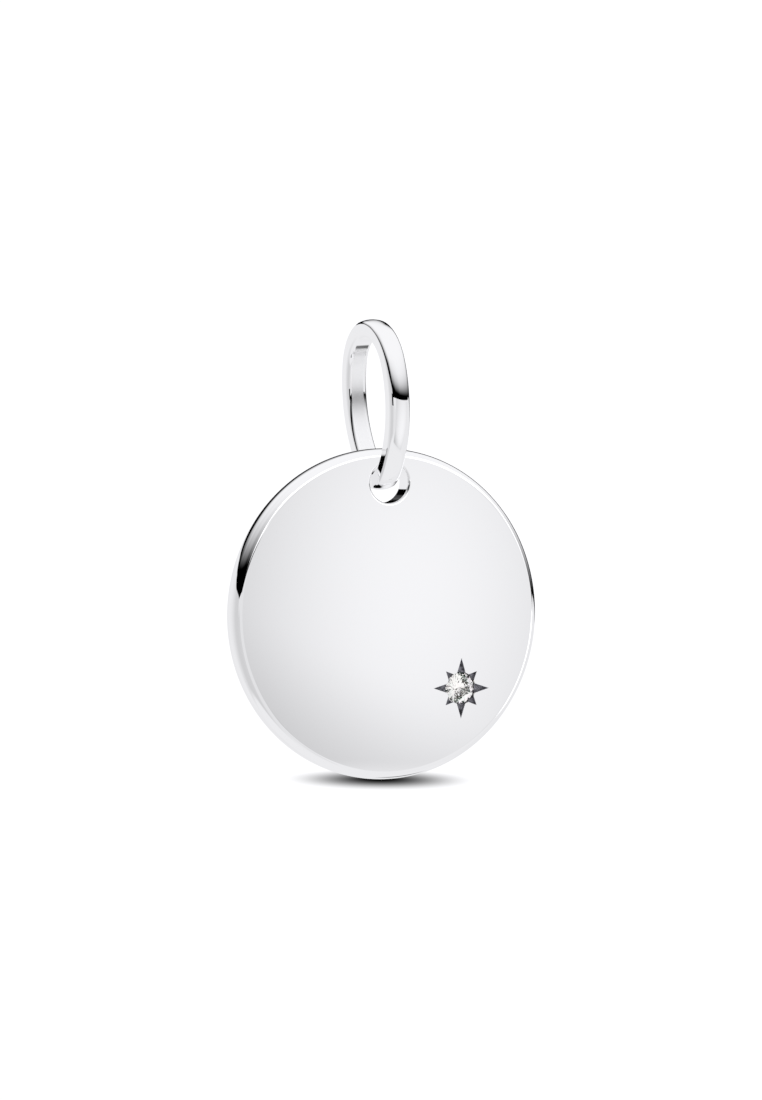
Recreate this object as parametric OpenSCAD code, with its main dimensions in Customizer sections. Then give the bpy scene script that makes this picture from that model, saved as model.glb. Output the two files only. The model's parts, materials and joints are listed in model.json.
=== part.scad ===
// Tag pendant: a round polished tag with one small clear stone set in a star, hung on an oval bail.
// Lengths are in millimetres. The tag faces -Y, +Z is up, and X runs across the tag.
// The origin is where the chain sits: the middle of the bail's inner top.

/* [Tag] */
// Diameter of the round tag
tag_d = 20; // [19:0.5:22]
// Thickness of the tag
tag_t = 1.5; // [1.4:0.1:1.6]
// Radius of the softened edge round the front face
front_round = 0.5; // [0.3:0.05:0.6]
// Radius of the softened edge round the back face
back_round = 0.35; // [0.2:0.05:0.5]

/* [Hole for the bail] */
// Diameter of the hole
hole_d = 2.5; // [2.5:0.05:2.7]
// Radius of the rounded lip on both sides of the hole
hole_lip = 0.16; // [0.1:0.02:0.2]
// Metal left between the hole and the tag's rim
hole_margin = 0.8; // [0.65:0.05:0.9]

/* [Star] */
// How far the star's centre is to the right of the tag's centre
star_right = 4.9; // [4:0.05:5.2]
// How far the star's centre is below the tag's centre
star_down = 4.5; // [4:0.05:5]
// Length of the four long rays, from the star's centre
long_ray = 1.84; // [1.6:0.02:2]
// Width of a long ray at the edge of the stone's seat
long_ray_w = 0.54; // [0.4:0.02:0.6]
// Length of the four short rays, from the star's centre
short_ray = 1.46; // [1.3:0.02:1.6]
// Width of a short ray at the edge of the stone's seat
short_ray_w = 0.47; // [0.3:0.01:0.5]
// Depth of the rays
star_depth = 0.25; // [0.15:0.05:0.3]

/* [Stone] */
// Diameter of the stone at its girdle
stone_d = 1.86; // [1.7:0.02:1.9]
// Height of the crown, from the girdle to the table
crown_h = 0.26; // [0.2:0.02:0.3]
// Height of the girdle band
girdle_h = 0.06; // [0.04:0.01:0.08]
// Depth of the pavilion, from the girdle to the culet
pavilion_h = 0.78; // [0.7:0.02:0.8]
// Width of the table, as a share of the stone's diameter
table_share = 0.56; // [0.5:0.01:0.62]
// How far the girdle's upper edge is sunk below the tag's face
stone_sink = 0.22; // [0.15:0.01:0.25]
// Gap between the stone and its seat
seat_gap = 0.04; // [0.03:0.01:0.06]

/* [Bail] */
// Outer height of the bail
bail_h = 10.3; // [10:0.02:10.6]
// Outer depth of the bail, from front to back
bail_depth = 7.6; // [7.5:0.02:7.7]
// Outer radius of the bail's wide top
bail_top_r = 3.65; // [3.6:0.01:3.7]
// Outer radius of the bail's narrow bottom
bail_bottom_r = 2.4; // [2.3:0.02:2.5]
// Width of the bail's bar, across the tag
bar_w = 1.32; // [1.2:0.02:1.34]
// Thickness of the bail's bar, from its inner face to the top of its crown
bar_t = 1.1; // [1:0.02:1.12]
// Height of the bar's crowned outer face over its side faces
bar_crown = 0.15; // [0.1:0.01:0.2]
// Radius of the bar's softened inner edges
bar_round = 0.12; // [0.08:0.01:0.15]
// Sideways lean of the bail, in degrees, its top towards -X
bail_lean = 4.5; // [0:0.1:5]
// How far the hole's centre is to the right of the bar's middle
hole_right = 0.26; // [0.1:0.02:0.3]
// How far the hole's centre is above the bail's lowest edge
hole_rise = 0.44; // [0.37:0.01:0.45]

/* [Hidden] */
$fn = 128;
silver = [0.86, 0.87, 0.88];
clear = [0.82, 0.92, 0.98];
overcut = 0.5;

tag_r = tag_d / 2;
hole_r = hole_d / 2;
hole_up = tag_r - hole_margin - hole_r;

stone_r = stone_d / 2;
table_r = table_share * stone_r;
seat_r = stone_r + seat_gap;
// Slope of the pavilion, and of the cone that the stone sits in
pavilion_slope = pavilion_h / stone_r;

// The bail's outline is an egg of four arcs that run smoothly into each other: one at the top,
// one at the bottom and one at each side. This works out the two side arcs from the others.
half_h = bail_h / 2;
half_depth = bail_depth / 2;
top_z = half_h - bail_top_r;
bottom_z = bail_bottom_r - half_h;
centres_apart = top_z - bottom_z;
top_reach = half_depth - bail_top_r;
bottom_reach = half_depth - bail_bottom_r;
reach_ratio = bottom_reach / top_reach - 1;
side_drop = (sqrt(centres_apart ^ 2 - reach_ratio * (bottom_reach * (bail_top_r - bail_bottom_r)
    - centres_apart ^ 2)) - centres_apart) / reach_ratio;
side_r = (side_drop ^ 2 / top_reach + bail_top_r + half_depth) / 2;
side_y = side_r - half_depth;
side_z = top_z - side_drop;
// Angles at which the side arcs meet the top arc and the bottom arc
top_join = atan2(top_z - side_z, side_y);
bottom_join = atan2(bottom_z - side_z, side_y);

// The hole's centre, seen from the bail's inner top before the bail leans, and then in the frame
inner_h = half_h - bar_t;
hole_below = inner_h + half_h - hole_rise;
hole_x = hole_right * cos(bail_lean) + hole_below * sin(bail_lean);
hole_z = hole_right * sin(bail_lean) - hole_below * cos(bail_lean);

// Places its children on the tag, with the tag's centre as their origin.
module on_tag() {
    translate([hole_x, 0, hole_z - hole_up]) children();
}

// Turns what is drawn about Z so that it lies about the tag's own axis, with -Z to the front.
module about_tag_axis() {
    rotate([-90, 0, 0]) children();
}

// Half of the tag's section, from its axis to its rim, with the front face at the bottom.
module tag_section() {
    translate([0, front_round]) square([tag_r, tag_t - front_round - back_round]);
    square([tag_r - front_round, front_round]);
    translate([tag_r - front_round, front_round]) circle(front_round);
    translate([0, tag_t - back_round]) square([tag_r - back_round, back_round]);
    translate([tag_r - back_round, tag_t - back_round]) circle(back_round);
}

// Half of the section that is cut away for the hole: straight inside, flared by the rounded lips.
module hole_section() {
    straight = tag_t / 2 - hole_lip;
    difference() {
        translate([0, -tag_t / 2 - overcut]) square([hole_r + hole_lip, tag_t + 2 * overcut]);
        translate([hole_r, -straight]) square([hole_lip + overcut, 2 * straight]);
        for (side = [-1, 1]) {
            translate([hole_r + hole_lip, side * straight]) circle(hole_lip);
        }
    }
}

// Half of the section of the stone's seat: a straight wall down past the girdle, then a cone.
module seat_section() {
    wall_h = stone_sink + girdle_h + seat_gap;
    polygon([
        [0, -overcut],
        [seat_r, -overcut],
        [seat_r, wall_h],
        [0, wall_h + seat_r * pavilion_slope],
    ]);
}

// One straight-sided ray that points up, as wide as asked where it leaves the stone's seat.
module ray(length, width) {
    base = width / 2 * length / (length - seat_r);
    polygon([[-base, 0], [base, 0], [0, length]]);
}

// The star's outline, from four long rays and four short ones between them.
module star_outline() {
    for (turn = [0 : 90 : 270]) {
        rotate(turn) ray(long_ray, long_ray_w);
        rotate(turn + 45) ray(short_ray, short_ray_w);
    }
}

module star_recess() {
    translate([0, star_depth - tag_t / 2, 0]) rotate([90, 0, 0])
        linear_extrude(star_depth + overcut) star_outline();
}

module disc() {
    color(silver) on_tag() difference() {
        about_tag_axis() translate([0, 0, -tag_t / 2]) rotate_extrude() tag_section();
        translate([0, 0, hole_up]) about_tag_axis() rotate_extrude() hole_section();
        translate([star_right, 0, -star_down]) {
            star_recess();
            about_tag_axis() translate([0, 0, -tag_t / 2]) rotate_extrude() seat_section();
        }
    }
}

// Corner points of the brilliant cut. The girdle has sixteen, and the other rings have eight.
function ring_point(angle, radius, height) = [radius * cos(angle), radius * sin(angle), height];
// Height of a bezel facet, and of a pavilion main facet, at a distance from the axis
function bezel_z(x) = crown_h * (stone_r - x) / (stone_r - table_r);
function main_z(x) = -girdle_h - pavilion_slope * (stone_r - x);
star_r = (table_r * cos(22.5) + stone_r) / 2;
lower_r = 0.22 * stone_r;
stone_points = [
    for (i = [0 : 7]) ring_point(45 * i, table_r, crown_h),
    for (i = [0 : 7]) ring_point(45 * i + 22.5, star_r, bezel_z(star_r * cos(22.5))),
    for (j = [0 : 15]) ring_point(22.5 * j, stone_r, 0),
    for (j = [0 : 15]) ring_point(22.5 * j, stone_r, -girdle_h),
    for (i = [0 : 7]) ring_point(45 * i + 22.5, lower_r, main_z(lower_r * cos(22.5))),
    [0, 0, main_z(0)],
];
// Where each ring of corners starts in the list of points
function table_at(i) = i % 8;
function star_at(i) = 8 + (i + 8) % 8;
function upper_at(j) = 16 + j % 16;
function under_at(j) = 32 + j % 16;
function lower_at(i) = 48 + (i + 8) % 8;
culet_at = 56;
stone_facets = [
    [for (i = [7 : -1 : 0]) table_at(i)],
    for (i = [0 : 7]) [table_at(i), table_at(i + 1), star_at(i)],
    for (i = [0 : 7]) [table_at(i), star_at(i), upper_at(2 * i), star_at(i - 1)],
    for (i = [0 : 7]) [star_at(i), upper_at(2 * i + 1), upper_at(2 * i)],
    for (i = [0 : 7]) [star_at(i), upper_at(2 * i + 2), upper_at(2 * i + 1)],
    for (j = [0 : 15]) [upper_at(j), upper_at(j + 1), under_at(j + 1), under_at(j)],
    for (i = [0 : 7]) [lower_at(i), under_at(2 * i), under_at(2 * i + 1)],
    for (i = [0 : 7]) [lower_at(i), under_at(2 * i + 1), under_at(2 * i + 2)],
    for (i = [0 : 7]) [culet_at, lower_at(i - 1), under_at(2 * i), lower_at(i)],
];

module stone() {
    color(clear) on_tag() translate([star_right, stone_sink - tag_t / 2, -star_down])
        rotate([90, 0, 0]) polyhedron(points = stone_points, faces = stone_facets);
}

// The bar's section. Its outermost point is at 0, and its flat inner face is at -bar_t.
module bar_section() {
    crown_r = ((bar_w / 2) ^ 2 + bar_crown ^ 2) / (2 * bar_crown);
    intersection() {
        translate([-crown_r, 0]) circle(crown_r);
        union() {
            translate([bar_round - bar_t, -bar_w / 2]) square([bar_t - bar_round, bar_w]);
            translate([-bar_t, bar_round - bar_w / 2]) square([bar_round, bar_w - 2 * bar_round]);
            for (side = [-1, 1]) {
                translate([bar_round - bar_t, side * (bar_w / 2 - bar_round)]) circle(bar_round);
            }
        }
    }
}

// One arc of the bail, about a centre in the bail's outline, from one angle to another. It is cut
// out of a full ring by a five-sided sector, and neighbouring sectors share their corners.
module bail_arc(centre, radius, from, to) {
    function at(distance, angle) = centre + distance * [cos(angle), sin(angle)];
    inside = radius - bar_t - overcut;
    outside = radius + overcut;
    intersection() {
        translate(centre) rotate_extrude() translate([radius, 0]) bar_section();
        linear_extrude(2 * bar_w, center = true) polygon([
            at(inside, from),
            at(outside, from),
            at(outside / cos((to - from) / 2), (from + to) / 2),
            at(outside, to),
            at(inside, to),
        ]);
    }
}

module bail() {
    color(silver) rotate([0, -bail_lean, 0]) translate([0, 0, -inner_h]) rotate([90, 0, 90]) {
        bail_arc([0, top_z], bail_top_r, top_join, 180 - top_join);
        bail_arc([-side_y, side_z], side_r, bottom_join, top_join);
        bail_arc([side_y, side_z], side_r, 180 - top_join, 180 - bottom_join);
        bail_arc([0, bottom_z], bail_bottom_r, 180 - bottom_join, 360 + bottom_join);
    }
}

bail();
disc();
stone();
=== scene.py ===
"""Looks of the tag pendant: a mirror-polished tag and bail, a darkened star and a small clear stone."""
import json
import math

import bpy
from mathutils import Matrix, Vector
from mathutils.geometry import tessellate_polygon


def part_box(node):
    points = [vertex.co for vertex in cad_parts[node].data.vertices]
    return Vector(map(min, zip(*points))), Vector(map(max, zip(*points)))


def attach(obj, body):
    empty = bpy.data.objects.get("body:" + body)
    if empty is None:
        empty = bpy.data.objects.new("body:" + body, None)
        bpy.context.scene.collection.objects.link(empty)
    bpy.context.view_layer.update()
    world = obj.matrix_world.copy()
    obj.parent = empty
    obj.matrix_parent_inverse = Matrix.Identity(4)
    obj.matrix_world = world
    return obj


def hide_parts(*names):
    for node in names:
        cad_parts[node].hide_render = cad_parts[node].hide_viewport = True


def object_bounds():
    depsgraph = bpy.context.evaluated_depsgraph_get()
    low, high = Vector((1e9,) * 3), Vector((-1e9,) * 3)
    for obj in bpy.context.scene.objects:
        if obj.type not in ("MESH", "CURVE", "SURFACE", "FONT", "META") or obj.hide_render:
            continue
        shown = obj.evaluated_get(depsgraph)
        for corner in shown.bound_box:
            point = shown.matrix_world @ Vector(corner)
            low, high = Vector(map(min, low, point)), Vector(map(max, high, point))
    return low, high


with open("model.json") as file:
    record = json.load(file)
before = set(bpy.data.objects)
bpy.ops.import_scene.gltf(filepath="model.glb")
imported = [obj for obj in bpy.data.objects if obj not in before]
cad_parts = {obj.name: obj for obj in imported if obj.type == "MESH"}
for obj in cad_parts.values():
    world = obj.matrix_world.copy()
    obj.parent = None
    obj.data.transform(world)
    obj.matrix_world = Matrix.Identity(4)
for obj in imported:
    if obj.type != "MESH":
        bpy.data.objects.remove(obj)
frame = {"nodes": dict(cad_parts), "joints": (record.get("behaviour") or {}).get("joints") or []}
cad_bounds = [list(corner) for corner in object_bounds()]

MM = 0.001

# Tag, its softened edges whose crown slopes by some degrees, and the hole that the bail hangs in
FRONT_ROUND = 0.50 * MM
BACK_ROUND = 0.35 * MM
EDGE_SLOPE = 9.0
HOLE_D = 2.50 * MM
HOLE_LIP = 0.16 * MM

# Star: rays that start at the stone's seat, cut to one depth, with a thin darkened lining
LONG_RAY = 1.84 * MM
LONG_RAY_W = 0.54 * MM
SHORT_RAY = 1.46 * MM
SHORT_RAY_W = 0.47 * MM
STAR_DEPTH = 0.25 * MM
LINING_T = 0.02 * MM
LINING_SIDE_GAP = 0.001 * MM
LINING_TOP_GAP = 0.005 * MM
LINING_FLOOR_T = 0.018 * MM
STONE_SINK = 0.22 * MM
GIRDLE_H = 0.06 * MM
PAVILION_H = 0.78 * MM
SEAT_GAP = 0.04 * MM

# Bail: an egg of four arcs, and the section of its bar
BAIL_H = 10.30 * MM
BAIL_DEPTH = 7.60 * MM
BAIL_TOP_R = 3.65 * MM
BAIL_BOTTOM_R = 2.40 * MM
BAR_W = 1.32 * MM
BAR_T = 1.10 * MM
BAR_CROWN = 0.15 * MM
BAR_INNER_ROUND = 0.27 * MM
BAR_OUTER_ROUND = 0.28 * MM
BAIL_LEAN = math.radians(4.5)

# Camera: where the photo was taken from, and where the tag's centre lies in its 762 x 1100 pixels
PHOTO_SIZE = (762, 1100)
TAG_PIXEL = (388.18, 614.31)
PIXELS_PER_MM = 16.589
CAMERA_AZIMUTH = -23.753
CAMERA_ELEVATION = 1.932
CAMERA_ROLL = math.radians(0.666)
CAMERA_DISTANCE = 300 * MM
CAMERA_NEAR = 10 * MM
CAMERA_FAR = 10000 * MM
SENSOR = 36.0

# Studio, which only mirrors see: pale ground, a dark band near the horizon, and a sky that brightens above
# it. All its angles are in degrees. By azimuth, from -Y towards +X, the table gives the elevations where
# the band starts and ends, over how many degrees the sky then brightens, and how light the ground is.
STUDIO_TINT = (1.0, 1.0, 1.017)
BACKDROP_LIGHT = 1.05
SKY_LIGHT = 0.98
BAND_EDGE_BLUR = 0.4
BAND = (
    # azimuth, dark from, dark to, fade, ground
    (-180, 12.5, 23.0, 3.5, 0.84),
    (-168, 13.5, 22.0, 3.0, 0.86),
    (-156, 14.5, 16.5, 5.5, 0.88),
    (-144, 12.5, 15.0, 9.0, 0.84),
    (-132, 12.5, 17.0, 8.0, 0.80),
    (-120, 12.5, 18.0, 11.0, 0.78),
    (-108, 11.5, 19.5, 11.5, 0.76),
    (-96, 10.5, 20.0, 12.5, 0.72),
    (-80, 9.5, 20.0, 11.5, 0.67),
    (-66, 8.0, 19.5, 11.0, 0.66),
    (-50, 6.0, 18.0, 10.0, 0.66),
    (-36, 3.5, 16.5, 10.0, 0.66),
    (-25, -4.5, 12.5, 10.0, 0.68),
    (-14, -4.5, 9.0, 8.0, 0.76),
    (0, -4.3, 2.5, 8.0, 0.86),
    (20, -3.5, 0.8, 6.2, 0.88),
    (35, -2.7, 1.0, 6.3, 0.87),
    (55, -1.2, 1.5, 7.0, 0.86),
    (70, 2.0, 2.4, 8.0, 0.85),
    (85, 1.5, 2.4, 8.0, 0.85),
    (105, -0.5, 2.4, 8.0, 0.84),
    (122, -3.0, 14.0, 6.0, 0.84),
    (133, -3.0, 30.0, 5.0, 0.84),
    (145, -2.0, 34.0, 5.0, 0.86),
    (156, 4.0, 14.0, 10.0, 0.86),
    (168, 11.0, 20.0, 6.0, 0.86),
    (180, 12.5, 23.0, 3.5, 0.84),
)

# A dark patch low at the back, which only the inner top of the bail mirrors
PATCH_AZIMUTH = 114.0
PATCH_ELEVATION = -58.5
PATCH_INNER = 1.0
PATCH_OUTER = 10.0
PATCH_DARK = 0.85

# Far below, the ground is lighter all round
LOW_GROUND = 0.88
LOW_GROUND_FROM = -38.0
LOW_GROUND_TO = -46.0

# Cards in front of the tag, on the side that its face mirrors, with their distance, their corners and the
# places of their light in mm. The near one lights the face with a broad hill, with dusk towards its lower
# left and even light along its sides and its foot. The far one runs on to the left.
CARD_AZIMUTH = 23.7
NEAR_DISTANCE = 20.0
NEAR_CORNERS = ((-11.3, -29.5), (14.0, -29.5), (14.0, -4.8), (-16.0, -4.8), (-16.0, -6.8), (-10.2, -9.6),
                (-9.8, -16.5), (-11.3, -20.0))
NEAR_LIGHT = 0.965
GLOW_X = 1.65
GLOW_Z = -15.6
GLOW_W = 15.3
GLOW_H = 24.4
DUSK = 0.193
DUSK_SLANT = 0.48
DUSK_FROM = -20.6
DUSK_TO = -30.25
SIDE_LIGHT = 0.86
SIDE_FROM = 9.2
SIDE_TO = 10.5
LOW_LIGHT = 0.86
LOW_FROM = -26.6
LOW_TO = -28.0
FAR_DISTANCE = 60.0
FAR_CORNERS = ((-120.0, -60.0), (-10.0, -60.0), (-10.0, -11.5), (-30.0, -11.5), (-48.0, -12.2),
               (-66.0, -9.6), (-78.0, -8.4), (-120.0, -8.1))
FAR_LIGHT = 0.80
FAR_LOW_LIGHT = 0.68
FAR_LOW_FROM = -14.0
FAR_LOW_TO = -24.0
FAR_LEFT_FROM = -52.0
FAR_LEFT_TO = -66.0

# A card over and beside the near one that lights only the tag, whose face mirrors it when it swings up
UPPER_DISTANCE = 20.5
UPPER_CORNERS = ((-19.0, -10.95), (-9.0, -10.95), (-9.0, -6.0), (13.5, -6.0), (13.5, -29.0), (19.0, -29.0),
                 (19.0, 3.0), (-19.0, 3.0))
UPPER_LIGHT = 0.86

# A dark card between the light ones, which the near corner of the bail mirrors
GAP_AZIMUTH = -33.0
GAP_DISTANCE = 45.0
GAP_CORNERS = ((-12.0, -13.0), (12.0, -13.0), (12.0, -4.6), (-12.0, -4.6))

# Floor, and a soft spot of painted shadow in its glow under the tag, which fades where nothing stands close
# over it. The spot's reach across and in depth is in mm.
FLOOR_DROP = 0.01 * MM
FLOOR_R = 240 * MM
FLOOR_SIDES = 96
SPOT_LEFT = 0.12 * MM
SPOT_ACROSS = 6.1
SPOT_DEEP = 10.3
SPOT_POWER = 1.5
SPOT_REACH = 25 * MM
SPOT_SAMPLES = 16
SPOT_HERE = 0.80
SPOT_GONE = 0.95

# Finishes: scales are in waves per metre, the satin's heights in mm and the film's thickness in nm
SILVER_COLOUR = (0.95, 0.95, 0.955, 1)
SILVER_HAZE_SCALE = 260.0
SILVER_HAZE_DETAIL = 3.0
SILVER_HAZE_FROM = 0.35
SILVER_HAZE_TO = 0.65
SILVER_ROUGHNESS = 0.012
SILVER_HAZE = 0.018
LINING_GRAIN_SCALE = 5200.0
LINING_GRAIN_DETAIL = 4.0
LINING_GRAIN_FROM = 0.3
LINING_GRAIN_TO = 0.7
LINING_DARK = (0.06, 0.06, 0.07, 1)
LINING_LIGHT = (0.36, 0.355, 0.40, 1)
LINING_ROUGHNESS = 0.55
LINING_RELIEF = 0.02 * MM
SATIN_ROUGHNESS = 0.3
SATIN_FROM = -0.35
SATIN_TO = -0.9
STONE_IOR = 1.92
STONE_FILM = 500.0
STONE_FILM_IOR = 1.75

# How finely round shapes are divided. The seat's circle is 16 arcs, one under each ray and one between
# each two rays, and SEAT_ARC_STEPS is for one of them.
RIM_STEPS = 512
HOLE_STEPS = 192
SEAT_ARC_STEPS = 8
ROUND_STEPS = 12
BAIL_STEPS = 96
CROWN_STEPS = 24

# Corners whose places agree to this many digits, in metres, are one
PLACE_DIGITS = 9

disc_low, disc_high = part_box("disc")
stone_low, stone_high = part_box("stone")
tag_centre = (disc_low + disc_high) / 2
TAG_R = (disc_high.x - disc_low.x) / 2
FACE_Y = disc_low.y
BACK_Y = disc_high.y
star_centre = Vector(((stone_low.x + stone_high.x) / 2, 0, (stone_low.z + stone_high.z) / 2))
STONE_R = (stone_high.x - stone_low.x) / 2
SEAT_R = STONE_R + SEAT_GAP
hole_centre = Vector(frame["joints"][0]["pos_m"])


class Shell:
    """A mesh under construction: faces whose corners each have a place and a normal."""

    def __init__(self):
        self.points = []
        self.index = {}
        self.faces = []
        self.normals = []

    def corner(self, point):
        """The index of a point, which is shared by all corners at the same place."""
        key = tuple(round(value, PLACE_DIGITS) for value in point)
        if key not in self.index:
            self.index[key] = len(self.points)
            self.points.append(point)
        return self.index[key]

    def face(self, corners):
        """Adds a face from (point, normal) pairs, turned so that its front is where the normals point."""
        places = [point for point, _ in corners]
        middle = sum((normal for _, normal in corners), Vector())
        if (places[1] - places[0]).cross(places[2] - places[1]).dot(middle) < 0:
            corners = corners[::-1]
        indices = [self.corner(point) for point, _ in corners]
        if len(set(indices)) == len(indices):
            self.faces.append(indices)
            self.normals.extend(normal for _, normal in corners)

    def strip(self, first, second):
        """Joins two closed rows of (point, normal) pairs with quads."""
        for i in range(len(first)):
            j = (i + 1) % len(first)
            self.face([first[i], first[j], second[j], second[i]])

    def flat(self, loops, normal):
        """Fills a flat outline that may have holes in it."""
        points = [point for loop in loops for point in loop]
        for triangle in tessellate_polygon(loops):
            self.face([(points[i], normal) for i in triangle])

    def build(self, name):
        """Makes the object, smooth all over, with the normals that were asked for."""
        mesh = bpy.data.meshes.new(name)
        mesh.from_pydata(self.points, [], self.faces)
        mesh.polygons.foreach_set("use_smooth", [True] * len(mesh.polygons))
        mesh.normals_split_custom_set([tuple(normal.normalized()) for normal in self.normals])
        mesh.update()
        piece = bpy.data.objects.new(name, mesh)
        bpy.context.scene.collection.objects.link(piece)
        return piece


def around(centre, angle, radius, y):
    """A point at an angle from +X round an axis that runs along Y."""
    return Vector((centre.x + radius * math.cos(angle), y, centre.z + radius * math.sin(angle)))


def arc(start, end, steps):
    """Angles in degrees from one to another, both included, in radians."""
    return [math.radians(start + (end - start) * i / steps) for i in range(steps + 1)]


def ring(centre, steps, radius, y, outward, forward):
    """A circle about a Y axis, with the normal's part away from the axis and its part towards -Y."""
    pairs = []
    for i in range(steps):
        angle = 2 * math.pi * i / steps
        normal = Vector((outward * math.cos(angle), -forward, outward * math.sin(angle)))
        pairs.append((around(centre, angle, radius, y), normal))
    return pairs


def lathe(shell, centre, steps, profile):
    """Turns a profile of (radius, y, outward, forward) rows round a Y axis."""
    rings = [ring(centre, steps, *row) for row in profile]
    for first, second in zip(rings, rings[1:]):
        shell.strip(first, second)


def rim_profile():
    """The tag's edge, from its front face over a slight crown to its back face."""
    slope = math.radians(EDGE_SLOPE)
    spread = (BACK_Y - FACE_Y) - (FRONT_ROUND + BACK_ROUND) * (1 - math.sin(slope))
    crown_r = spread / (2 * math.sin(slope))
    crown_y = FACE_Y + FRONT_ROUND * (1 - math.sin(slope)) + spread / 2
    ends_r = TAG_R - crown_r * (1 - math.cos(slope))
    front = (FRONT_ROUND, ends_r - FRONT_ROUND * math.cos(slope), FACE_Y + FRONT_ROUND)
    crown = (crown_r, TAG_R - crown_r, crown_y)
    back = (BACK_ROUND, ends_r - BACK_ROUND * math.cos(slope), BACK_Y - BACK_ROUND)
    rows = []
    for (radius, middle_r, middle_y), start, end in ((front, 0, 90 - EDGE_SLOPE),
                                                     (crown, 90 - EDGE_SLOPE, 90 + EDGE_SLOPE),
                                                     (back, 90 + EDGE_SLOPE, 180)):
        for a in arc(start, end, ROUND_STEPS):
            rows.append((middle_r + radius * math.sin(a), middle_y - radius * math.cos(a),
                         math.sin(a), math.cos(a)))
    return rows


def hole_profile():
    """The wall of the hole with its rounded lips, from the front face to the back face."""
    lip_r = HOLE_D / 2 + HOLE_LIP
    rows = []
    for middle_y, start, end in ((FACE_Y + HOLE_LIP, 0, 90), (BACK_Y - HOLE_LIP, 90, 180)):
        for a in arc(start, end, ROUND_STEPS):
            rows.append((lip_r - HOLE_LIP * math.sin(a), middle_y - HOLE_LIP * math.cos(a),
                         -math.sin(a), math.cos(a)))
    return rows


def ray_shape(turn, length, width, inset):
    """A ray's two corners on the seat and its tip, as flat points about the star's centre."""
    half_base = width / 2 * length / (length - SEAT_R)
    slope = math.hypot(length, half_base)
    tip = length - inset * slope / half_base
    half_base -= inset * slope / length
    ratio = half_base / tip
    # Where the ray's edge, x = half_base - ratio * z, meets the seat's circle
    reach = 1 + ratio ** 2
    middle = ratio * half_base
    across = math.sqrt(middle ** 2 - reach * (half_base ** 2 - SEAT_R ** 2))
    height = (middle + across) / reach
    side = half_base - ratio * height
    flat = [Vector((side, height)), Vector((0, tip)), Vector((-side, height))]
    return [Matrix.Rotation(turn, 2) @ point for point in flat]


def on_face(point, y):
    """A flat point about the star's centre, placed on the tag at a depth."""
    return Vector((star_centre.x + point.x, y, star_centre.z + point.y))


def star_rays(inset=0.0):
    """The corners of the eight rays, in order round the star."""
    rays = []
    for quarter in range(4):
        turn = math.pi / 2 * quarter
        rays.append(ray_shape(turn, LONG_RAY, LONG_RAY_W, inset))
        rays.append(ray_shape(turn + math.pi / 4, SHORT_RAY, SHORT_RAY_W, inset))
    return rays


def seat_arc(start, end, steps):
    """Points on the seat's circle from one flat point to another, the short way, both included."""
    first = math.atan2(start.y, start.x)
    sweep = (math.atan2(end.y, end.x) - first + math.pi) % (2 * math.pi) - math.pi
    angles = [first + sweep * i / steps for i in range(steps + 1)]
    return [Vector((SEAT_R * math.cos(a), SEAT_R * math.sin(a))) for a in angles]


def star_loop():
    """The outline of the star and the seat together, as it cuts the tag's face."""
    rays = star_rays()
    loop = []
    for ray, following in zip(rays, rays[1:] + rays[:1]):
        loop.extend(ray)
        loop.extend(seat_arc(ray[2], following[0], SEAT_ARC_STEPS)[1:-1])
    return loop


def seat_loop():
    """The seat's circle, with the same points as the star's outline and its floor."""
    rays = star_rays()
    loop = []
    for ray, following in zip(rays, rays[1:] + rays[:1]):
        loop.extend(seat_arc(ray[0], ray[2], SEAT_ARC_STEPS)[:-1])
        loop.extend(seat_arc(ray[2], following[0], SEAT_ARC_STEPS)[:-1])
    return loop


def wall(shell, flat_from, flat_to, y_from, y_to, normals=None):
    """An upright wall of the star or the seat, whose normal is given or square to it."""
    run = flat_to - flat_from
    square = Vector((-run.y, 0, run.x))
    first, second = normals or (square, square)
    shell.face([(on_face(flat_from, y_from), first), (on_face(flat_to, y_from), second),
                (on_face(flat_to, y_to), second), (on_face(flat_from, y_to), first)])


def inward(point):
    """The normal of a seat wall at a flat point: towards the star's axis."""
    return Vector((-point.x, 0, -point.y)).normalized()


def add_star_pocket(shell):
    """The pocket of the star and the stone's seat in the tag, without the darkened lining."""
    floor_y = FACE_Y + STAR_DEPTH + LINING_T
    rays = star_rays()
    for ray, following in zip(rays, rays[1:] + rays[:1]):
        for start, end in zip(ray, ray[1:]):
            wall(shell, start, end, FACE_Y, floor_y)
        base = seat_arc(ray[0], ray[2], SEAT_ARC_STEPS)
        loop = [on_face(point, floor_y) for point in base + [ray[1]]]
        shell.flat([loop], Vector((0, -1, 0)))
        between = seat_arc(ray[2], following[0], SEAT_ARC_STEPS)
        for start, end in zip(between, between[1:]):
            wall(shell, start, end, FACE_Y, floor_y, (inward(start), inward(end)))
    seat_y = FACE_Y + STONE_SINK + GIRDLE_H + SEAT_GAP
    circle = seat_loop()
    for start, end in zip(circle, circle[1:] + circle[:1]):
        wall(shell, start, end, floor_y, seat_y, (inward(start), inward(end)))
    slope = PAVILION_H / STONE_R
    bottom = on_face(Vector((0, 0)), seat_y + slope * SEAT_R)
    for start, end in zip(circle, circle[1:] + circle[:1]):
        first = inward(start) * slope - Vector((0, 1, 0))
        second = inward(end) * slope - Vector((0, 1, 0))
        shell.face([(on_face(start, seat_y), first), (on_face(end, seat_y), second),
                    (bottom, (first + second) / 2)])


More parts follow.
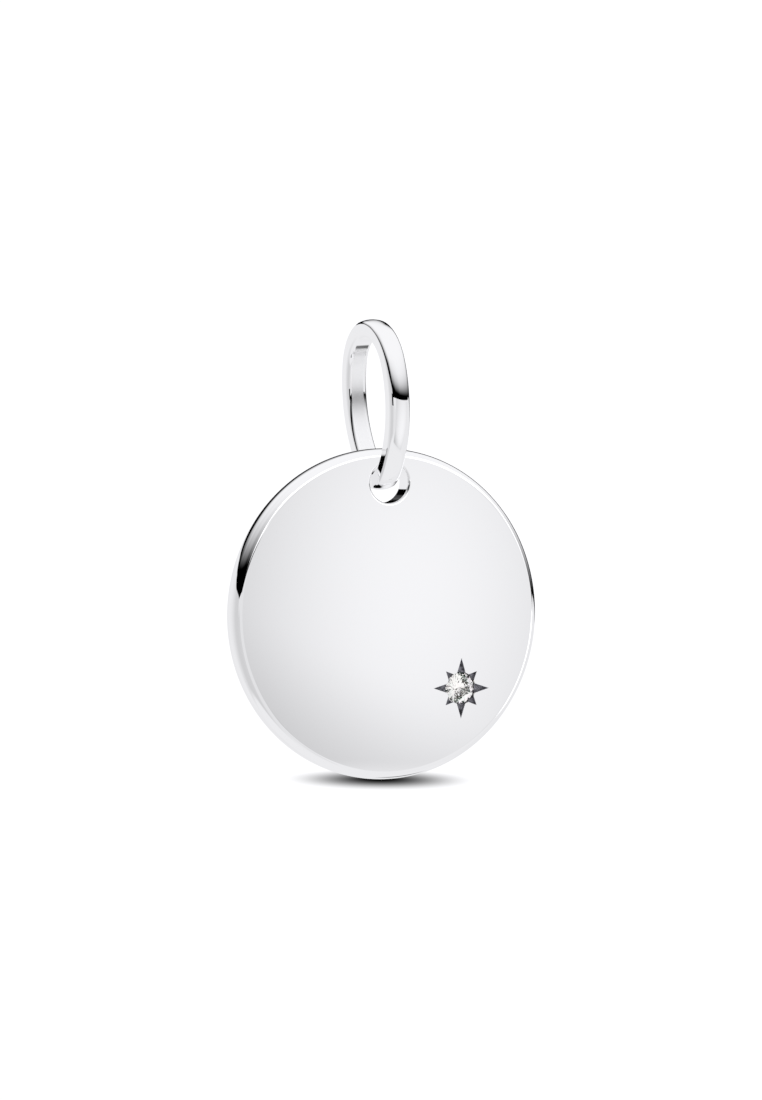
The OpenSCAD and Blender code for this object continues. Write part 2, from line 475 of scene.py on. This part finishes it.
def build_tag():
    """The tag as one closed mesh: faces, edge, hole, star pocket and seat."""
    shell = Shell()
    edge = rim_profile()
    hole = hole_profile()
    lathe(shell, tag_centre, RIM_STEPS, edge)
    lathe(shell, hole_centre, HOLE_STEPS, hole)
    for rim_row, hole_row, forward in ((edge[0], hole[0], -1), (edge[-1], hole[-1], 1)):
        outer = [point for point, _ in ring(tag_centre, RIM_STEPS, *rim_row)]
        inner = [point for point, _ in ring(hole_centre, HOLE_STEPS, *hole_row)]
        loops = [outer, inner]
        if forward < 0:
            loops.append([on_face(point, FACE_Y) for point in star_loop()])
        shell.flat(loops, Vector((0, forward, 0)))
    add_star_pocket(shell)
    return shell.build("tag_polished")


def build_lining():
    """The darkened lining of the star: a thin closed trough in each ray, open towards the stone."""
    shell = Shell()
    top_y = FACE_Y + LINING_TOP_GAP
    floor_y = FACE_Y + STAR_DEPTH
    under_y = floor_y + LINING_FLOOR_T
    front = Vector((0, -1, 0))
    for outer, inner in zip(star_rays(LINING_SIDE_GAP), star_rays(LINING_T)):
        outer_base = seat_arc(outer[0], outer[2], SEAT_ARC_STEPS)
        inner_base = seat_arc(inner[0], inner[2], SEAT_ARC_STEPS)
        for (start, end), (in_start, in_end) in zip(zip(outer, outer[1:]), zip(inner, inner[1:])):
            wall(shell, end, start, top_y, under_y)
            wall(shell, in_start, in_end, top_y, floor_y)
            shell.face([(on_face(start, top_y), front), (on_face(end, top_y), front),
                        (on_face(in_end, top_y), front), (on_face(in_start, top_y), front)])
        shell.flat([[on_face(point, floor_y) for point in inner_base + [inner[1]]]], front)
        shell.flat([[on_face(point, under_y) for point in outer_base + [outer[1]]]], -front)
        # The end that faces the stone: a low bar under the floor, and a post at each side
        for start, end in ((outer_base[0], inner_base[0]), (inner_base[-1], outer_base[-1])):
            wall(shell, start, end, top_y, under_y, (inward(start), inward(end)))
        for start, end in zip(inner_base, inner_base[1:]):
            wall(shell, start, end, floor_y, under_y, (inward(start), inward(end)))
    return shell.build("star_lining")


def bail_outline():
    """(y, z, outward angle) along the bail's outer outline, once round from its right side."""
    half_h = BAIL_H / 2
    half_depth = BAIL_DEPTH / 2
    top_z = half_h - BAIL_TOP_R
    bottom_z = BAIL_BOTTOM_R - half_h
    # The egg is widest side_drop below the top arc's centre, where one arc a side can touch both the top
    # and the bottom arc
    apart = top_z - bottom_z
    top_reach = half_depth - BAIL_TOP_R
    ratio = (half_depth - BAIL_BOTTOM_R) / top_reach - 1
    inner = (half_depth - BAIL_BOTTOM_R) * (BAIL_TOP_R - BAIL_BOTTOM_R) - apart ** 2
    side_drop = (math.sqrt(apart ** 2 - ratio * inner) - apart) / ratio
    side_r = (side_drop ** 2 / top_reach + BAIL_TOP_R + half_depth) / 2
    side_y = side_r - half_depth
    side_z = top_z - side_drop
    top_join = math.degrees(math.atan2(side_drop, side_y))
    bottom_join = math.degrees(math.atan2(bottom_z - side_z, side_y))
    arcs = [
        (-side_y, side_z, side_r, bottom_join, top_join),
        (0, top_z, BAIL_TOP_R, top_join, 180 - top_join),
        (side_y, side_z, side_r, 180 - top_join, 180 - bottom_join),
        (0, bottom_z, BAIL_BOTTOM_R, 180 - bottom_join, 360 + bottom_join),
    ]
    outline = []
    for centre_y, centre_z, radius, start, end in arcs:
        for angle in arc(start, end, BAIL_STEPS)[:-1]:
            y = centre_y + radius * math.cos(angle)
            z = centre_z + radius * math.sin(angle)
            outline.append((y, z, angle))
    return outline


def rounded(centre, radius, start, end):
    """Rows of (out, across, normal out, normal across) round a corner of the bar's section."""
    rows = []
    for angle in arc(start, end, ROUND_STEPS):
        out, across = math.cos(angle), math.sin(angle)
        rows.append((centre[0] + radius * out, centre[1] + radius * across, out, across))
    return rows


def bar_section():
    """The bar's section once round: crowned outside, flat sides and inside, and rounded corners."""
    half_w = BAR_W / 2
    crown_r = (half_w ** 2 + BAR_CROWN ** 2) / (2 * BAR_CROWN)
    # The outer corner's rounding touches the crown from inside and the side face
    corner_across = half_w - BAR_OUTER_ROUND
    lean = math.asin(corner_across / (crown_r - BAR_OUTER_ROUND))
    corner_out = (crown_r - BAR_OUTER_ROUND) * math.cos(lean) - crown_r
    lean_deg = math.degrees(lean)
    inner_out = BAR_INNER_ROUND - BAR_T
    inner_across = half_w - BAR_INNER_ROUND
    crown = [(crown_r * math.cos(a) - crown_r, crown_r * math.sin(a), math.cos(a), math.sin(a))
             for a in arc(-lean_deg, lean_deg, CROWN_STEPS)]
    return (crown[:-1]
            + rounded((corner_out, corner_across), BAR_OUTER_ROUND, lean_deg, 90)
            + rounded((inner_out, inner_across), BAR_INNER_ROUND, 90, 180)
            + rounded((inner_out, -inner_across), BAR_INNER_ROUND, 180, 270)
            + rounded((corner_out, -corner_across), BAR_OUTER_ROUND, 270, 360 - lean_deg)[:-1])


def build_bail():
    """The bail: the bar's section carried round the egg, leaning about the chain's seat."""
    inner_h = BAIL_H / 2 - BAR_T
    place = Matrix.Rotation(-BAIL_LEAN, 3, "Y")
    section = bar_section()
    rows = []
    for y, z, angle in bail_outline():
        out_y, out_z = math.cos(angle), math.sin(angle)
        row = []
        for out, across, normal_out, normal_across in section:
            point = Vector((across, y + out * out_y, z + out * out_z - inner_h))
            normal = Vector((normal_across, normal_out * out_y, normal_out * out_z))
            row.append((place @ point, place @ normal))
        rows.append(row)
    shell = Shell()
    for first, second in zip(rows, rows[1:] + rows[:1]):
        shell.strip(first, second)
    bail = shell.build("bail_polished")
    # The flat inner face is the one quad of each strip between the two inner roundings
    inner_face = CROWN_STEPS + 2 * ROUND_STEPS + 1
    for number, polygon in enumerate(bail.data.polygons):
        polygon.material_index = int(number % len(section) == inner_face)
    return bail


def put(tree, socket, term):
    """Feeds a socket from another node's socket, or sets its own value."""
    if isinstance(term, bpy.types.NodeSocket):
        tree.links.new(term, socket)
    else:
        socket.default_value = term


def calc(tree, operation, *terms):
    """One step of arithmetic as a shader node."""
    node = tree.nodes.new("ShaderNodeMath")
    node.operation = operation
    for socket, term in zip(node.inputs, terms):
        put(tree, socket, term)
    return node.outputs["Value"]


def ease(tree, value, low, high):
    """Goes smoothly from 0 to 1 as the value goes from low to high."""
    node = tree.nodes.new("ShaderNodeMapRange")
    node.interpolation_type = "SMOOTHSTEP"
    put(tree, node.inputs["Value"], value)
    put(tree, node.inputs["From Min"], low)
    put(tree, node.inputs["From Max"], high)
    return node.outputs["Result"]


def blend(tree, share, first, second):
    """The first number where the share is 0, the second where it is 1."""
    node = tree.nodes.new("ShaderNodeMix")
    for name, term in (("Factor", share), ("A", first), ("B", second)):
        put(tree, node.inputs[name], term)
    return node.outputs["Result"]


def blend_colours(tree, share, first, second):
    """The first colour where the share is 0, the second where it is 1."""
    node = tree.nodes.new("ShaderNodeMix")
    node.data_type = "RGBA"
    tree.links.new(share, node.inputs["Factor"])
    colours = [socket for socket in node.inputs if socket.type == "RGBA"]
    for socket, colour in zip(colours, (first, second)):
        socket.default_value = colour
    return next(socket for socket in node.outputs if socket.type == "RGBA")


def bell(tree, value, middle, spread):
    """A Gaussian bell of height 1."""
    away = calc(tree, "DIVIDE", calc(tree, "SUBTRACT", value, middle), spread)
    return calc(tree, "EXPONENT", calc(tree, "MULTIPLY", calc(tree, "POWER", away, 2.0), -0.5))


def own_place(tree):
    """X, Y and Z in the object's own coordinates, in mm."""
    scaled = tree.nodes.new("ShaderNodeVectorMath")
    scaled.operation = "SCALE"
    scaled.inputs["Scale"].default_value = 1 / MM
    tree.links.new(tree.nodes.new("ShaderNodeTexCoord").outputs["Object"], scaled.inputs[0])
    split = tree.nodes.new("ShaderNodeSeparateXYZ")
    tree.links.new(scaled.outputs["Vector"], split.inputs["Vector"])
    return tuple(split.outputs)


def new_material(name, **values):
    """A material whose Principled shader's own sockets are set."""
    material = bpy.data.materials.new(name)
    material.use_nodes = True
    shader = material.node_tree.nodes["Principled BSDF"]
    for socket, value in values.items():
        shader.inputs[socket.replace("_", " ")].default_value = value
    return material


def glow_material(name):
    """A material that only shines, and its node tree with the shader whose strength is to be set."""
    material = bpy.data.materials.new(name)
    material.use_nodes = True
    tree = material.node_tree
    tree.nodes.clear()
    shine = tree.nodes.new("ShaderNodeEmission")
    shine.inputs["Color"].default_value = (*STUDIO_TINT, 1)
    surface = tree.nodes.new("ShaderNodeOutputMaterial")
    tree.links.new(shine.outputs["Emission"], surface.inputs["Surface"])
    return material, tree, shine


def dress(piece, *materials):
    """Gives a piece its materials, in place of any that it has."""
    while piece.data.materials:
        piece.data.materials.pop()
    for material in materials:
        piece.data.materials.append(material)


def new_sheet(name, corners):
    """A flat sheet of the stage, in the scene."""
    mesh = bpy.data.meshes.new(name)
    mesh.from_pydata(corners, [], [range(len(corners))])
    sheet = bpy.data.objects.new(name, mesh)
    bpy.context.scene.collection.objects.link(sheet)
    return sheet


def compass(azimuth, elevation=0.0):
    """The direction at an azimuth from -Y towards +X and an elevation, in degrees."""
    az, el = math.radians(azimuth), math.radians(elevation)
    return Vector((math.sin(az) * math.cos(el), -math.cos(az) * math.cos(el), math.sin(el)))


def read_band(tree, position):
    """The band's two elevations, the fade and the ground's light, at an azimuth from 0 to 1 for the turn."""
    ramp = tree.nodes.new("ShaderNodeValToRGB")
    elements = ramp.color_ramp.elements
    while len(elements) < len(BAND):
        elements.new(0.5)
    # All positions come before any colour, because setting one may sort the elements
    for element, (row_azimuth, *_) in zip(elements, BAND):
        element.position = (row_azimuth + 180) / 360
    for element, (_, dark_from, dark_to, fade, ground) in zip(elements, BAND):
        element.color = ((dark_from + 90) / 180, (dark_to + 90) / 180, fade / 180, ground)
    tree.links.new(position, ramp.inputs["Fac"])
    split = tree.nodes.new("ShaderNodeSeparateColor")
    tree.links.new(ramp.outputs["Color"], split.inputs["Color"])
    return (calc(tree, "MULTIPLY_ADD", split.outputs["Red"], 180.0, -90.0),
            calc(tree, "MULTIPLY_ADD", split.outputs["Green"], 180.0, -90.0),
            calc(tree, "MULTIPLY", split.outputs["Blue"], 180.0), ramp.outputs["Alpha"])


def build_studio():
    """The surroundings: a bright sky, a pale ground, and a dark band of uneven height between them."""
    world = bpy.data.worlds.new("studio")
    bpy.context.scene.world = world
    world.use_nodes = True
    tree = world.node_tree
    tree.nodes.clear()
    view = tree.nodes.new("ShaderNodeTexCoord").outputs["Generated"]
    split = tree.nodes.new("ShaderNodeSeparateXYZ")
    tree.links.new(view, split.inputs["Vector"])
    azimuth = calc(tree, "ARCTAN2", split.outputs["X"],
                   calc(tree, "MULTIPLY", split.outputs["Y"], -1.0))
    dark_from, dark_to, fade, ground = read_band(
        tree, calc(tree, "MULTIPLY_ADD", azimuth, 0.5 / math.pi, 0.5))
    height = calc(tree, "DEGREES", calc(tree, "ARCSINE", split.outputs["Z"]))
    above = calc(tree, "MAXIMUM", calc(tree, "SUBTRACT", height, dark_to), 0.0)
    left_dark = calc(tree, "EXPONENT", calc(tree, "MULTIPLY", calc(tree, "DIVIDE", above, fade), -1.0))
    sky = calc(tree, "MULTIPLY", calc(tree, "POWER", calc(tree, "SUBTRACT", 1.0, left_dark), 2.0),
               SKY_LIGHT)
    aim = tree.nodes.new("ShaderNodeVectorMath")
    aim.operation = "DOT_PRODUCT"
    tree.links.new(view, aim.inputs[0])
    aim.inputs[1].default_value = compass(PATCH_AZIMUTH, PATCH_ELEVATION)
    patch = ease(tree, aim.outputs["Value"], math.cos(math.radians(PATCH_OUTER)),
                 math.cos(math.radians(PATCH_INNER)))
    ground = blend(tree, ease(tree, height, LOW_GROUND_FROM, LOW_GROUND_TO), ground, LOW_GROUND)
    ground = calc(tree, "MULTIPLY", ground, calc(tree, "MULTIPLY_ADD", patch, -PATCH_DARK, 1.0))
    over_edge = ease(tree, calc(tree, "SUBTRACT", height, dark_from), -BAND_EDGE_BLUR, BAND_EDGE_BLUR)
    light = blend(tree, over_edge, ground, sky)
    seen = tree.nodes.new("ShaderNodeLightPath").outputs["Is Camera Ray"]
    light = blend(tree, seen, light, BACKDROP_LIGHT)
    shine = tree.nodes.new("ShaderNodeBackground")
    shine.inputs["Color"].default_value = (*STUDIO_TINT, 1)
    tree.links.new(light, shine.inputs["Strength"])
    surface = tree.nodes.new("ShaderNodeOutputWorld")
    tree.links.new(shine.outputs["Background"], surface.inputs["Surface"])


def build_card(name, azimuth, distance, corners):
    """A card in front of the tag that only mirrors see. Gives its node tree and the light's socket."""
    card = new_sheet(name, [(x * MM, 0, z * MM) for x, z in corners])
    card.location = Vector((tag_centre.x, FACE_Y, 0)) + compass(azimuth) * distance * MM
    card.rotation_euler.z = math.radians(azimuth)
    card.visible_camera = False
    card.visible_diffuse = False
    card.visible_shadow = False
    card.visible_transmission = False
    material, tree, shine = glow_material(name)
    dress(card, material)
    return tree, shine.inputs["Strength"]


def shine_only_on(name, pieces):
    """Lets a card light nothing but the given pieces, and makes it clear to see through."""
    card = bpy.data.objects[name]
    lit = bpy.data.collections.new("lit_by_" + name)
    for piece in pieces:
        lit.objects.link(piece)
    card.light_linking.receiver_collection = lit
    tree = card.data.materials[0].node_tree
    surface = tree.nodes["Material Output"].inputs["Surface"]
    both = tree.nodes.new("ShaderNodeAddShader")
    tree.links.new(surface.links[0].from_socket, both.inputs[0])
    tree.links.new(tree.nodes.new("ShaderNodeBsdfTransparent").outputs["BSDF"], both.inputs[1])
    tree.links.new(both.outputs["Shader"], surface)


def light_near_card():
    """The card that the tag's face mirrors: a broad hill of light, dimmer towards its borders."""
    tree, strength = build_card("near_card", CARD_AZIMUTH, NEAR_DISTANCE, NEAR_CORNERS)
    across, _, up = own_place(tree)
    hill = calc(tree, "MULTIPLY", bell(tree, across, GLOW_X, GLOW_W), bell(tree, up, GLOW_Z, GLOW_H))
    slanted = calc(tree, "MULTIPLY_ADD", across, DUSK_SLANT, up)
    dusk = calc(tree, "MULTIPLY", ease(tree, slanted, DUSK_FROM, DUSK_TO), DUSK)
    light = calc(tree, "MULTIPLY", calc(tree, "MULTIPLY", hill, calc(tree, "SUBTRACT", 1.0, dusk)),
                 NEAR_LIGHT)
    light = blend(tree, ease(tree, calc(tree, "ABSOLUTE", across), SIDE_FROM, SIDE_TO), light, SIDE_LIGHT)
    light = blend(tree, ease(tree, up, LOW_FROM, LOW_TO), light, LOW_LIGHT)
    tree.links.new(light, strength)


def light_far_card():
    """The card beside it, darker low at its left."""
    tree, strength = build_card("far_card", CARD_AZIMUTH, FAR_DISTANCE, FAR_CORNERS)
    across, _, up = own_place(tree)
    low_left = calc(tree, "MULTIPLY", ease(tree, up, FAR_LOW_FROM, FAR_LOW_TO),
                    ease(tree, across, FAR_LEFT_FROM, FAR_LEFT_TO))
    light = blend(tree, low_left, FAR_LIGHT, FAR_LOW_LIGHT)
    tree.links.new(light, strength)


def build_cards(tag_and_lining):
    """All the cards: two that light every piece, one that lights only the tag, and a dark one."""
    light_near_card()
    light_far_card()
    build_card("upper_card", CARD_AZIMUTH, UPPER_DISTANCE, UPPER_CORNERS)[1].default_value = UPPER_LIGHT
    shine_only_on("upper_card", tag_and_lining)
    build_card("gap", GAP_AZIMUTH, GAP_DISTANCE, GAP_CORNERS)[1].default_value = 0


def build_floor():
    """The pale floor just under the tag, with a soft spot of painted shadow where the tag nearly touches it.
    """
    floor_z = cad_bounds[0][2] - FLOOR_DROP
    floor = new_sheet("floor", [(FLOOR_R * math.cos(angle), FLOOR_R * math.sin(angle), 0)
                                for angle in arc(0, 360, FLOOR_SIDES)[:-1]])
    floor.location = (tag_centre.x - SPOT_LEFT, 0, floor_z)
    floor.rotation_euler.z = math.radians(CAMERA_AZIMUTH)
    floor.visible_glossy = False
    material, tree, shine = glow_material("floor")
    dress(floor, material)
    across, deep, _ = own_place(tree)
    # Painted shadow: an ellipse darkens the floor's glow about the point under the tag, and fades out where
    # the occlusion shows nothing near
    across = calc(tree, "POWER", calc(tree, "DIVIDE", across, SPOT_ACROSS), 2.0)
    deep = calc(tree, "POWER", calc(tree, "DIVIDE", deep, SPOT_DEEP), 2.0)
    away = calc(tree, "SQRT", calc(tree, "ADD", across, deep))
    spot = calc(tree, "POWER", ease(tree, away, 0.0, 1.0), SPOT_POWER)
    shade = tree.nodes.new("ShaderNodeAmbientOcclusion")
    shade.samples = SPOT_SAMPLES
    shade.inputs["Distance"].default_value = SPOT_REACH
    gone = ease(tree, shade.outputs["AO"], SPOT_HERE, SPOT_GONE)
    light = calc(tree, "MULTIPLY", calc(tree, "MAXIMUM", spot, gone), BACKDROP_LIGHT)
    tree.links.new(light, shine.inputs["Strength"])


def place_camera():
    """Looks at the tag's face from the photo's angle, turned so that it lies where the photo has it."""
    back = compass(CAMERA_AZIMUTH, CAMERA_ELEVATION)
    level = compass(CAMERA_AZIMUTH + 90)
    upright = back.cross(level)
    right = math.cos(CAMERA_ROLL) * level + math.sin(CAMERA_ROLL) * upright
    up = back.cross(right)
    focal_pixels = PIXELS_PER_MM * CAMERA_DISTANCE / MM
    aim = Vector(((TAG_PIXEL[0] - PHOTO_SIZE[0] / 2) / focal_pixels,
                  (PHOTO_SIZE[1] / 2 - TAG_PIXEL[1]) / focal_pixels, -1))
    turn = aim.rotation_difference(Vector((0, 0, -1))).to_matrix()
    basis = Matrix((right, up, back)).transposed() @ turn
    lens = bpy.data.cameras.new("camera")
    lens.sensor_width = SENSOR
    lens.lens = focal_pixels / max(PHOTO_SIZE) * SENSOR
    lens.clip_start = CAMERA_NEAR
    lens.clip_end = CAMERA_FAR
    camera = bpy.data.objects.new("camera", lens)
    bpy.context.scene.collection.objects.link(camera)
    target = Vector((tag_centre.x, FACE_Y, tag_centre.z))
    camera.matrix_world = Matrix.Translation(target + back * CAMERA_DISTANCE) @ basis.to_4x4()
    bpy.context.scene.camera = camera


def noise(tree, scale, detail):
    """A noise over the piece's own shape, in its own coordinates."""
    node = tree.nodes.new("ShaderNodeTexNoise")
    node.inputs["Scale"].default_value = scale
    node.inputs["Detail"].default_value = detail
    tree.links.new(tree.nodes.new("ShaderNodeTexCoord").outputs["Object"], node.inputs["Vector"])
    return node.outputs["Fac"]


def silver_material(name):
    """Polished silver with the faint uneven haze of a buffed surface."""
    material = new_material(name, Base_Color=SILVER_COLOUR, Metallic=1.0)
    tree = material.node_tree
    haze = ease(tree, noise(tree, SILVER_HAZE_SCALE, SILVER_HAZE_DETAIL), SILVER_HAZE_FROM, SILVER_HAZE_TO)
    uneven = blend(tree, haze, SILVER_ROUGHNESS, SILVER_ROUGHNESS + SILVER_HAZE)
    tree.links.new(uneven, tree.nodes["Principled BSDF"].inputs["Roughness"])
    return material


def satin_material():
    """The bail's inner face: polished at the top, where the chain runs, and satin further down."""
    material = silver_material("satin_silver")
    tree = material.node_tree
    roughness = tree.nodes["Principled BSDF"].inputs["Roughness"]
    satin = ease(tree, own_place(tree)[2], SATIN_FROM, SATIN_TO)
    polished = roughness.links[0].from_socket
    tree.links.new(blend(tree, satin, polished, SATIN_ROUGHNESS), roughness)
    return material


def lining_material():
    """Darkened silver, grainy and matt."""
    material = new_material("darkened", Metallic=0.0, Roughness=LINING_ROUGHNESS)
    tree = material.node_tree
    shader = tree.nodes["Principled BSDF"]
    grain = noise(tree, LINING_GRAIN_SCALE, LINING_GRAIN_DETAIL)
    share = ease(tree, grain, LINING_GRAIN_FROM, LINING_GRAIN_TO)
    colour = blend_colours(tree, share, LINING_DARK, LINING_LIGHT)
    tree.links.new(colour, shader.inputs["Base Color"])
    relief = tree.nodes.new("ShaderNodeBump")
    relief.inputs["Distance"].default_value = LINING_RELIEF
    tree.links.new(grain, relief.inputs["Height"])
    tree.links.new(relief.outputs["Normal"], shader.inputs["Normal"])
    return material


def stone_material():
    """Clear cut stone."""
    return new_material("stone", Base_Color=(1, 1, 1, 1), Transmission_Weight=1.0, IOR=STONE_IOR,
                        Roughness=0.0, Thin_Film_Thickness=STONE_FILM, Thin_Film_IOR=STONE_FILM_IOR)


def build_pieces():
    """The tag, its lining and the bail, and the finish of each piece. Gives the tag and its lining."""
    silver = silver_material("silver")
    satin = satin_material()
    tag, lining, bail = build_tag(), build_lining(), build_bail()
    dress(tag, silver)
    dress(bail, silver, satin)
    dress(lining, lining_material())
    dress(frame["nodes"]["stone"], stone_material())
    # The tag's face shows no mirror image of the bail in the photo
    bail.visible_glossy = False
    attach(tag, "tag")
    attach(lining, "tag")
    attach(bail, "bail")
    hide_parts("disc")
    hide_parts("bail")
    return tag, lining


place_camera()
tag_and_lining = build_pieces()
build_studio()
build_cards(tag_and_lining)
build_floor()
bpy.context.scene.view_settings.view_transform = "Standard"
